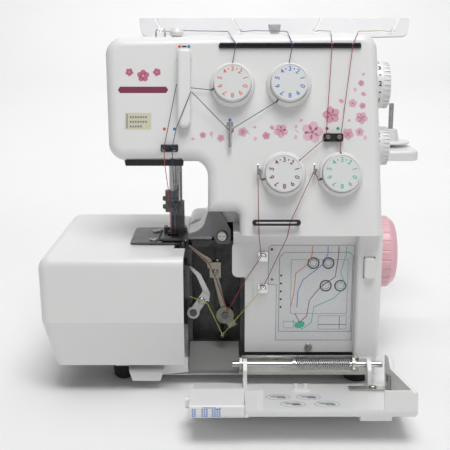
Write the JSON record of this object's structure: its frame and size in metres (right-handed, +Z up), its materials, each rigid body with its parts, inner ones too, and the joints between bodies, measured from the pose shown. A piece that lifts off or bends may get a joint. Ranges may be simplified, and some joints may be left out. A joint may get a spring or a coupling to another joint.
{
  "type": "serger overlock machine",
  "caption": "Household serger with tension dials, two needles, a swing-away cloth plate, an opened looper cover, a spool stand and a telescopic thread guide.",
  "frame": {"origin": "on the table, below the middle of the machine's bounding box", "axes": "+X to the operator's right, +Y away from the operator, +Z up"},
  "size_m": [0.3453, 0.3454, 0.307],
  "materials": {
    "belt_rubber": "matte",
    "black_plastic": "matte",
    "bright_steel": "bright, brushed",
    "cast_metal": "cast, matte",
    "chrome": "polished",
    "clear_plastic": "translucent satin",
    "cream_white_plastic": "satin",
    "dark_steel": "dark satin",
    "grey_plastic": "matte",
    "motor_enamel": "satin",
    "pink_plastic": "satin",
    "rubber": "matte",
    "thread_maroon_green": "twisted polyester",
    "thread_red_blue": "twisted polyester",
    "white_plastic": "satin gloss",
    "zinc": "zinc plated"
  },
  "bodies": {
    "housing": {"base_tray": "white_plastic", "rubber_feet": "rubber", "main_frame": "cast_metal", "front_casing": "white_plastic", "rear_casing": "white_plastic", "inner_front_panel": "white_plastic", "bed_gusset_plate": "grey_plastic", "takeup_cover": "white_plastic", "top_thread_guide": "dark_steel", "needle_thread_guide": "black_plastic", "looper_thread_guide": "black_plastic", "wire_thread_guides": "chrome", "slot_thread_guide": "dark_steel", "clip_guides": "chrome", "dial_collars": "cream_white_plastic", "tension_discs": "bright_steel", "motor": "motor_enamel", "drive_belt": "belt_rubber", "needle_plate": "bright_steel", "lower_knife": "bright_steel", "hinge_bracket": "zinc", "spool_stand": "white_plastic", "spool_pins": "bright_steel", "spool_discs": "white_plastic", "pole_outer": "bright_steel", "power_socket": "black_plastic", "casing_screws": "zinc", "needle_threads": "thread_red_blue", "looper_threads": "thread_maroon_green", "hinge_spring": "bright_steel"},
    "drive_shaft": {"main_shaft": "bright_steel", "handwheel": "pink_plastic"},
    "motor_rotor": {"motor_pulley": "bright_steel"},
    "needle_carrier": {"needle_bar": "bright_steel", "needle_clamp": "bright_steel", "needles": "bright_steel"},
    "presser": {"presser_bar": "bright_steel", "presser_foot": "bright_steel"},
    "lifter": {"presser_lifter": "black_plastic"},
    "upper_looper_arm": {"upper_looper": "bright_steel"},
    "lower_looper_arm": {"lower_looper": "bright_steel"},
    "upper_knife_arm": {"upper_knife": "bright_steel"},
    "feed_carrier": {"feed_dogs": "bright_steel"},
    "dial_one": {"tension_dial_1": "cream_white_plastic"},
    "dial_two": {"tension_dial_2": "cream_white_plastic"},
    "dial_three": {"tension_dial_3": "cream_white_plastic"},
    "dial_four": {"tension_dial_4": "cream_white_plastic"},
    "length_dial": {"stitch_length_dial": "cream_white_plastic"},
    "ratio_dial": {"differential_dial": "cream_white_plastic"},
    "pressure_screw": {"pressure_knob": "cream_white_plastic"},
    "pole_stage": {"pole_middle": "bright_steel"},
    "pole_head": {"pole_top": "bright_steel", "thread_guide_bar": "clear_plastic"},
    "cover_shaft": {"hinge_shaft": "bright_steel"},
    "cover": {"looper_cover": "white_plastic", "cover_chart_box": "white_plastic", "latch_plate": "zinc"},
    "swing_plate": {"cloth_plate": "white_plastic"},
    "rocker": {"power_switch": "black_plastic"},
    "button": {"safety_button": "cream_white_plastic"}
  },
  "joints": [
    {"name": "handwheel_turn", "type": "hinge", "parent": "housing", "child": "drive_shaft", "pos_m": [-0.023, 0.0224, 0.096], "axis": [1, 0, 0], "continuous": true},
    {"name": "motor_turn", "type": "hinge", "parent": "housing", "child": "motor_rotor", "pos_m": [-0.023, 0.0384, 0.054], "axis": [1, 0, 0], "continuous": true},
    {"name": "needle_bar_slide", "type": "slide", "parent": "housing", "child": "needle_carrier", "axis": [0, 0, 1], "range_m": [-0.01, 0.015]},
    {"name": "upper_looper_swing", "type": "hinge", "parent": "housing", "child": "upper_looper_arm", "pos_m": [-0.023, -0.0416, 0.057], "axis": [0, -1, 0], "range_deg": [-2.8, 4.1]},
    {"name": "lower_looper_swing", "type": "hinge", "parent": "housing", "child": "lower_looper_arm", "pos_m": [-0.0505, -0.0356, 0.057], "axis": [0, -1, 0], "range_deg": [-2.8, 4.1]},
    {"name": "upper_knife_slide", "type": "slide", "parent": "housing", "child": "upper_knife_arm", "axis": [0, 0, 1], "range_m": [-0.0041, 0.0061]},
    {"name": "feed_slide", "type": "slide", "parent": "housing", "child": "feed_carrier", "axis": [0, 1, 0], "range_m": [-0.0014, 0.002]},
    {"name": "lifter_turn", "type": "hinge", "parent": "housing", "child": "lifter", "pos_m": [-0.068, 0.0804, 0.222], "axis": [0, -1, 0], "range_deg": [0, 50]},
    {"name": "presser_slide", "type": "slide", "parent": "housing", "child": "presser", "axis": [0, 0, 1], "range_m": [0, 0.006]},
    {"name": "dial_one_turn", "type": "hinge", "parent": "housing", "child": "dial_one", "pos_m": [-0.017, -0.03979, 0.25294], "axis": [0, -0.9659, 0.2589], "range_deg": [-216, 108]},
    {"name": "dial_two_turn", "type": "hinge", "parent": "housing", "child": "dial_two", "pos_m": [0.029, -0.03979, 0.25294], "axis": [0, -0.9659, 0.2589], "range_deg": [-216, 108]},
    {"name": "dial_three_turn", "type": "hinge", "parent": "housing", "child": "dial_three", "pos_m": [0.0244, -0.05869, 0.18243], "axis": [0, -0.9659, 0.2589], "range_deg": [-216, 108]},
    {"name": "dial_four_turn", "type": "hinge", "parent": "housing", "child": "dial_four", "pos_m": [0.0704, -0.05869, 0.18243], "axis": [0, -0.9659, 0.2589], "range_deg": [-216, 108]},
    {"name": "length_dial_turn", "type": "hinge", "parent": "housing", "child": "length_dial", "pos_m": [0.1038, 0.0004, 0.25], "axis": [1, 0, 0], "range_deg": [-140, 140]},
    {"name": "ratio_dial_turn", "type": "hinge", "parent": "housing", "child": "ratio_dial", "pos_m": [0.1056, 0.0004, 0.1975], "axis": [1, 0, 0], "range_deg": [-140, 140]},
    {"name": "pressure_turn", "type": "hinge", "parent": "housing", "child": "pressure_screw", "pos_m": [-0.063, -0.0176, 0.287], "axis": [0, 0, 1], "range_deg": [-360, 360]},
    {"name": "pole_lower_slide", "type": "slide", "parent": "housing", "child": "pole_stage", "axis": [0, 0, 1], "range_m": [0, 0.11]},
    {"name": "pole_upper_slide", "type": "slide", "parent": "pole_stage", "child": "pole_head", "axis": [0, 0, 1], "range_m": [0, 0.11]},
    {"name": "cover_shift", "type": "slide", "parent": "housing", "child": "cover_shaft", "axis": [1, 0, 0], "range_m": [0, 0.008], "stiffness_N_per_m": 200, "springref_m": -0.01, "deforming": ["hinge_spring"]},
    {"name": "cover_swing", "type": "hinge", "parent": "cover_shaft", "child": "cover", "pos_m": [0.043, -0.0696, 0.022], "axis": [1, 0, 0], "range_deg": [-78, 0]},
    {"name": "swing_plate_turn", "type": "hinge", "parent": "housing", "child": "swing_plate", "pos_m": [-0.0605, 0.0714, 0.075], "axis": [0, 0, -1], "range_deg": [0, 65]},
    {"name": "rocker_turn", "type": "hinge", "parent": "housing", "child": "rocker", "pos_m": [0.1117, 0.0284, 0.044], "axis": [0, 1, 0], "range_deg": [0, 18]},
    {"name": "button_press", "type": "slide", "parent": "housing", "child": "button", "axis": [0, 1, 0], "range_m": [0, 0.003], "stiffness_N_per_m": 400}
  ],
  "couplings": [
    {"joint": "motor_turn", "follows": "handwheel_turn", "ratio": 3.1711},
    {"joint": "upper_looper_swing", "follows": "needle_bar_slide", "rad_per_m": 4.65},
    {"joint": "lower_looper_swing", "follows": "needle_bar_slide", "rad_per_m": 4.65},
    {"joint": "upper_knife_slide", "follows": "needle_bar_slide", "ratio": 0.4},
    {"joint": "feed_slide", "follows": "needle_bar_slide", "ratio": 0.13},
    {"joint": "presser_slide", "follows": "lifter_turn", "m_per_rad": 0.006761}
  ]
}
